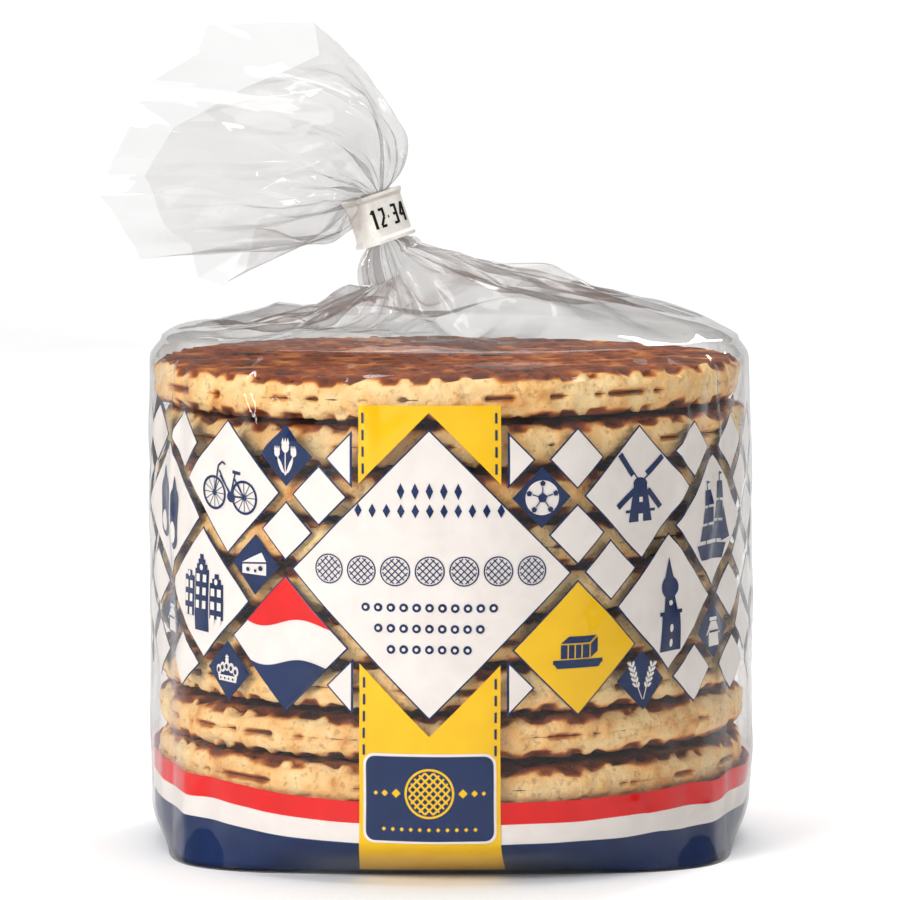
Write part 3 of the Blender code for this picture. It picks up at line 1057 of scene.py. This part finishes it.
def draw_waffle_emblem(pen, radius, lines):
    """A round waffle: a ring round a slanted grid."""
    pen.ring(0, 0, radius, 0.09 * radius)
    inside = 0.84 * radius
    for line in range(-lines, lines + 1):
        away = inside * line / (lines + 0.6)
        reach = math.sqrt(inside ** 2 - away ** 2)
        for way in (-1, 1):
            start = (0.7071 * (away - reach), 0.7071 * (away + reach) * way)
            end = (0.7071 * (away + reach), 0.7071 * (away - reach) * way)
            pen.fill(stroke(*start, *end, 0.075 * radius))


SMALL_WHITE = [(4, 3), (4, 1), (5, 0), (8, 3), (10, 3), (8, -3), (10, -3), (10, -1), (11, 2), (11, 0),
               (11, -2), (12, 3), (12, 1), (12, -1), (12, -3)]
LEFT_ONLY_WHITE = [(-3, 2)]
SMALL_NAVY = {(3, 2): draw_ball, (6, -3): draw_wheat, (9, -2): draw_churn, (-4, 3): draw_tulips,
              (-5, 0): draw_cheese, (-6, -3): draw_crown, (-9, -2): draw_churn}
LARGE_WHITE = {(6, 2): (draw_windmill, 1.12), (7, -1): (draw_tower, 1.08), (9, 1): (draw_ship, 1.3),
               (-6, 2): (draw_bicycle, 1.25), (-7, -1): (draw_houses, 1.22), (-9, 1): (draw_clogs, 1.5)}
SMALL_SIZE = 1.22


def cell(sheet, x, z, cells, ink):
    """A printed diamond with its thin dark outline."""
    half = (cells - INSET) * HALF_PITCH
    sheet.add("navy", diamond(x, z, half + OUTLINE), DEPTHS["edge"])
    sheet.add(ink, diamond(x, z, half), DEPTHS["fill"])


def half_cell(sheet, x, z, side):
    """The half diamond beside the strip."""
    tip = (1 - INSET) * HALF_PITCH
    flat = 0.12 * HALF_PITCH
    for ink, depth, grow in (("navy", DEPTHS["edge"], OUTLINE), ("white", DEPTHS["fill"], 0.0)):
        reach = tip + grow - (flat - grow)
        sheet.add(ink, [(x + side * (flat - grow), z - reach), (x + side * (tip + grow), z),
                        (x + side * (flat - grow), z + reach)][::side], depth)


def flag_cell(sheet, x, z):
    """A diamond in three wavy fields."""
    half = (2 - INSET) * HALF_PITCH
    cell(sheet, x, z, 2, "white")
    steps = 40
    for step in range(steps):
        places = (half * (2 * step / steps - 1), half * (2 * (step + 1) / steps - 1))
        for ink, side in (("red", 1), ("navy", -1)):
            waves = [3.3 * side + 0.8 * math.sin(0.42 * place + 0.4) for place in places]
            edges = [side * (half - abs(place)) for place in places]
            ends = [edge if side * (edge - wave) > 0 else wave for wave, edge in zip(waves, edges)]
            if ends != waves:
                near_side = [(x + place, z + wave) for place, wave in zip(places, waves)]
                far_side = [(x + place, z + end) for place, end in zip(places, ends)]
                sheet.add(ink, near_side + far_side[::-1], DEPTHS["icon"])


def strip(sheet, x):
    """The yellow strip with its notch round the middle diamond, its dashes and the navy panel."""
    base = -PRINT_MIDDLE / MM
    notch = (4 + INSET) * HALF_PITCH
    shoulder = notch - STRIP_HALF
    for side in (-1, 1):
        edge = x + side * STRIP_HALF
        upper = [(edge, STRIP_TOP), (x, STRIP_TOP), (x, notch), (edge, shoulder)]
        lower = [(edge, -shoulder), (x, -notch), (x, base + 0.8), (edge, base + 0.8)]
        sheet.add("yellow", upper, DEPTHS["fill"])
        sheet.add("yellow", lower, DEPTHS["fill"])
        dash = x + side * DASH_PLACE
        for top, bottom in ((STRIP_TOP - 1.2, shoulder + 2.6), (-shoulder - 2.2, -28.0)):
            level = top
            while level > bottom:
                sheet.add("navy", box(dash - 0.2, level - DASH_LENGTH, dash + 0.2, level), DEPTHS["icon"])
                level -= DASH_STEP
    middle = base + 14.3
    sheet.add("white", rounded_panel(x, middle, 11.0, 7.4, 1.8), DEPTHS["icon"])
    sheet.add("navy", rounded_panel(x, middle, 10.55, 6.95, 1.5), DEPTHS["panel"])
    emblem = Pen(sheet, x, middle + 0.9, "yellow", "navy", depth=DEPTHS["emblem"])
    draw_waffle_emblem(emblem, 4.1, 3)
    for side in (-1, 1):
        for across, half in ((5.5, 0.75), (7.4, 0.55), (8.9, 0.38)):
            emblem.fill(diamond(side * across, 0.0, half))
    for dot in range(-5, 6):
        emblem.fill(diamond(1.5 * dot, -5.9, 0.36))


def middle_ornament(sheet, x):
    """Rows of plain lozenges and small waffles in the middle diamond."""
    for level, count, tall in ((13.6, 5, 1.35), (10.4, 11, 1.15)):
        pen = Pen(sheet, x, level, "navy", "white")
        for item in range(count):
            across = (item - 0.5 * (count - 1)) * 2.35
            pen.fill([(across - 0.62, 0.0), (across, -tall), (across + 0.62, 0.0), (across, tall)])
    for item in range(7):
        draw_waffle_emblem(Pen(sheet, x + (item - 3) * 5.6, 0.6, "navy", "white"), 2.45, 2)
    for level, count in ((-5.4, 11), (-8.8, 9), (-12.2, 7)):
        pen = Pen(sheet, x, level, "navy", "white")
        for item in range(count):
            across = (item - 0.5 * (count - 1)) * 2.1
            pen.fill(disc(across, 0.0, 0.72, 18))
            pen.cut(disc(across, 0.0, 0.30, 14))


def panel(sheet, x):
    """One whole printed side of the bag, round its middle."""
    p = HALF_PITCH
    cell(sheet, x, 0.0, 4, "white")
    middle_ornament(sheet, x)
    for column, row in SMALL_WHITE:
        for side in (-1, 1):
            if (side * column, row) not in SMALL_NAVY:
                cell(sheet, x + side * column * p, row * p, 1, "white")
    for column, row in LEFT_ONLY_WHITE:
        cell(sheet, x + column * p, row * p, 1, "white")
    for row in (2, 0, -2):
        cell(sheet, x + 13 * p, row * p, 1, "white")
    for (column, row), draw in SMALL_NAVY.items():
        cell(sheet, x + column * p, row * p, 1, "navy")
        draw(Pen(sheet, x + column * p, row * p, "white", "navy", SMALL_SIZE))
    for (column, row), (draw, size) in LARGE_WHITE.items():
        cell(sheet, x + column * p, row * p, 2, "white")
        draw(Pen(sheet, x + column * p, row * p, "navy", "white", size))
    cell(sheet, x + 4 * p, -2 * p, 2, "yellow")
    draw_butter(Pen(sheet, x + 4 * p, -2 * p, "navy", "yellow"))
    flag_cell(sheet, x - 4 * p, -2 * p)
    for side in (-1, 1):
        for row in (3, -3):
            half_cell(sheet, x + side * 2 * p, row * p, side)
    strip(sheet, x)


def bands(sheet):
    """The red, white and navy bands that run all round the foot."""
    base = -PRINT_MIDDLE / MM
    start = -PANEL_COLUMNS / 2 * HALF_PITCH
    turn = 2 * PANEL_COLUMNS * HALF_PITCH
    for ink, low, high in (("red", 9.9, 13.5), ("white", 6.4, 9.9), ("navy", -12.0, 6.4)):
        sheet.add(ink, box(start, base + low, start + turn, base + high), DEPTHS["band"])


def fine_cuts(values):
    """Evenly spaced places across the span of these values."""
    first = math.ceil(min(values) / CUT_STEP)
    last = math.floor(max(values) / CUT_STEP)
    return [cut * CUT_STEP for cut in range(first, last + 1)]


def print_place(x, z):
    """The angle and height on the bag of a point of the flat print, given in mm from the front's middle."""
    half_turn = PANEL_COLUMNS * HALF_PITCH
    from_panel = np.mod(x + 0.5 * half_turn, half_turn) - 0.5 * half_turn
    height = PRINT_MIDDLE + z * MM
    crumple = stacked(x * MM, 0.0 * x, z * MM)
    side_share = smooth_step(np.abs(np.cos(FRONT + math.pi * x / half_turn)), 0.35, 0.95)
    slip = 0.12 + 0.55 * side_share
    x = x + slip * noise(crumple, 9 * MM, 61)
    height = height + slip * 0.7 * MM * noise(crumple, 8 * MM, 62)
    drawn_in = FOOT_HALF_DEPTH + (BODY_RADIUS - FOOT_HALF_DEPTH) * foot_rise(np.maximum(height, 0.0))
    beside_strip = smooth_step(np.abs(from_panel), STRIP_HALF, STRIP_HALF + 31)
    widened = (BODY_RADIUS / drawn_in - 1) * (1 - beside_strip)
    angle = FRONT + PRINT_TURN + math.pi * (x + from_panel * widened) / half_turn
    side = np.cos(angle)
    pulled_up = np.where(side < 0, 3.4 * MM * np.abs(side) ** 3, 0.9 * MM * side ** 3)
    lifted = pulled_up * (1 - 0.5 * smooth_step(height, 15 * MM, 70 * MM)) * smooth_step(height, 0.0, 5 * MM)
    return angle, height + lifted


def add_print():
    sheet = Sheet()
    bands(sheet)
    for side in (0, 1):
        panel(sheet, side * PANEL_COLUMNS * HALF_PITCH)
    for ink, triangles in sheet.triangles.items():
        shape = bmesh.new()
        for triangle in triangles:
            shape.faces.new([shape.verts.new(corner) for corner in triangle])
        columns = fine_cuts([vert.co.x for vert in shape.verts])
        levels = fine_cuts([vert.co.z for vert in shape.verts])
        cut_at(shape, (1, 0, 0), columns)
        cut_at(shape, (0, 0, 1), levels)
        mesh = bpy.data.meshes.new(ink)
        shape.to_mesh(mesh)
        shape.free()
        flat = np.empty(len(mesh.vertices) * 3)
        mesh.vertices.foreach_get("co", flat)
        flat = flat.reshape(-1, 3)
        angle, height = print_place(flat[:, 0], flat[:, 2])
        points = film_grid_point(angle, height) + inward(angle, height) * (flat[:, 1] * MM)[:, None]
        mesh.vertices.foreach_set("co", points.ravel())
        mesh.update()
        colour, shade = INKS[ink]
        put_in_bag(add_object(ink, mesh, ink_material(ink, colour, shade)))


# ---------------------------------------------------------------- the clip

DIGIT_STROKES = {
    "1": [(0.0, -1.5, 0.0, 1.5), (-0.5, 0.9, 0.05, 1.5)],
    "2": [(-0.6, 1.3, 0.6, 1.3), (0.6, 1.5, 0.6, 0.1), (0.6, 0.1, -0.6, -1.1), (-0.75, -1.3, 0.75, -1.3)],
    "3": [(-0.6, 1.35, 0.6, 1.35), (0.6, 1.5, 0.6, -1.5), (-0.4, 0.05, 0.6, 0.05), (-0.6, -1.35, 0.6, -1.35)],
    "4": [(0.45, -1.5, 0.45, 1.5), (-0.7, -0.4, 0.8, -0.4), (-0.7, -0.4, 0.3, 1.5)],
}


def add_clip_marks():
    """Plain digits on the clip's front face."""
    shape = bmesh.new()
    for character, middle in zip("12.34", (-2.9, -1.6, -0.4, 0.8, 2.35)):
        strokes = DIGIT_STROKES.get(character, [(-0.18, -0.1, 0.18, -0.1)])
        for order, (x0, z0, x1, z1) in enumerate(strokes):
            corners = stroke(0.66 * x0 + middle, 1.12 * z0, 0.66 * x1 + middle, 1.12 * z1, 0.46)
            verts = [shape.verts.new((x, 0.03 + 0.002 * order, z)) for x, z in corners]
            shape.faces.new(verts)
    cut_at(shape, (1, 0, 0), [step * 0.4 for step in range(-9, 10)])
    wide, deep = CLIP_HALF_WIDTH / MM, CLIP_HALF_DEPTH / MM
    for vert in shape.verts:
        share = 1 - abs(vert.co.x / wide) ** CLIP_SQUARENESS
        out = deep * share ** (1 / CLIP_SQUARENESS) + vert.co.y
        vert.co = Vector((vert.co.x, -out, vert.co.z)) * MM
    mesh = bpy.data.meshes.new("clip_marks")
    shape.to_mesh(mesh)
    shape.free()
    frame_of_clip = (Matrix.Translation(NECK) @ Matrix.Rotation(-NECK_LEAN, 4, "Y")
                     @ Matrix.Rotation(CLIP_TURN, 4, "Z"))
    mesh.transform(frame_of_clip)
    ink = ink_material("clip_ink", linear(30, 30, 32), linear(44, 44, 46))
    marks = add_object("clip_marks", mesh, ink, smooth=False)
    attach(marks, "root")


# ---------------------------------------------------------------- camera, lights and floor


CAMERA_LENS = 206.3
CAMERA_PLACE = (0, -0.88, 0.147)
CAMERA_TILT = 5.22  # degrees below level


def add_camera():
    data = bpy.data.cameras.new("camera")
    data.lens = CAMERA_LENS
    data.sensor_width = 36
    data.clip_start = 0.01
    camera = bpy.data.objects.new("camera", data)
    camera.location = CAMERA_PLACE
    camera.rotation_euler = (math.radians(90 - CAMERA_TILT), 0, 0)
    bpy.context.scene.collection.objects.link(camera)
    bpy.context.scene.camera = camera


def add_lamp(name, place, target, width, height, power):
    data = bpy.data.lights.new(name, "AREA")
    data.shape = "RECTANGLE"
    data.size = width
    data.size_y = height
    data.energy = power
    lamp = bpy.data.objects.new(name, data)
    lamp.location = place
    lamp.rotation_euler = (Vector(target) - Vector(place)).to_track_quat("-Z", "Y").to_euler()
    bpy.context.scene.collection.objects.link(lamp)


def add_floor():
    """A pale floor that curves up low behind the bag, so that the studio above it stays dim in the film."""
    flat_end = 1.2
    bend = 0.35
    profile = [(-3.0, 0.0), (flat_end, 0.0)]
    for step in range(1, 13):
        turn = step / 12 * 0.5 * math.pi
        profile.append((flat_end + bend * math.sin(turn), bend * (1 - math.cos(turn))))
    rows = [[(x, y, z) for x in (-3.0, 3.0)] for y, z in profile]
    faces = [(2 * i, 2 * i + 1, 2 * i + 3, 2 * i + 2) for i in range(len(rows) - 1)]
    nodes = Nodes("floor_paper")
    grain = nodes.noise(14.0, 2.0)
    colour = nodes.ramp(grain, [(0.3, (0.90, 0.90, 0.90, 1)), (0.7, (0.93, 0.93, 0.93, 1))])
    shader = nodes.add("BsdfPrincipled", {"Base Color": colour, "Roughness": 0.7})
    floor = add_object("floor", mesh_of("floor", rows, faces), nodes.finish(shader.outputs[0]))


def add_studio():
    world = bpy.data.worlds.new("studio")
    world.use_nodes = True
    background = world.node_tree.nodes["Background"]
    background.inputs["Color"].default_value = (1, 1, 1, 1)
    background.inputs["Strength"].default_value = 0.22
    bpy.context.scene.world = world
    middle = (0, 0, 0.06)
    add_lamp("key", (-0.80, -1.0, 0.85), middle, 0.5, 0.5, 12.5)
    add_lamp("strip_left", (-0.80, -0.80, 0.37), (0, 0, 0.09), 0.09, 0.52, 4.2)
    add_lamp("top", (0.1, 0.15, 1.2), middle, 1.1, 0.9, 9)
    add_lamp("rim_right", (0.55, 0.95, 0.75), (0, 0, 0.09), 0.16, 0.6, 4)
    add_lamp("fill", (1.1, -0.9, 0.36), middle, 0.12, 0.52, 2.2)
    add_lamp("backdrop", (0, 0.5, 1.5), (0, 1.25, 0.1), 2.4, 0.5, 14)
    scene = bpy.context.scene
    scene.view_settings.view_transform = "Standard"
    scene.cycles.transparent_max_bounces = 40


def clear_defaults():
    for name in ("Cube", "Light", "Camera"):
        extra = bpy.data.objects.get(name)
        if extra is not None:
            bpy.data.objects.remove(extra)


def main():
    clear_defaults()
    add_camera()
    add_studio()
    add_floor()
    dough = dough_material()
    syrup = syrup_material()
    for index in range(WAFFLE_COUNT):
        add_waffle(index, dough)
        add_syrup(index, syrup)
    add_print()
    add_film(film_material())
    add_clip_marks()
    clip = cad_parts["closure_clip"]
    clip.data.materials.clear()
    clip.data.materials.append(strip_material())


main()
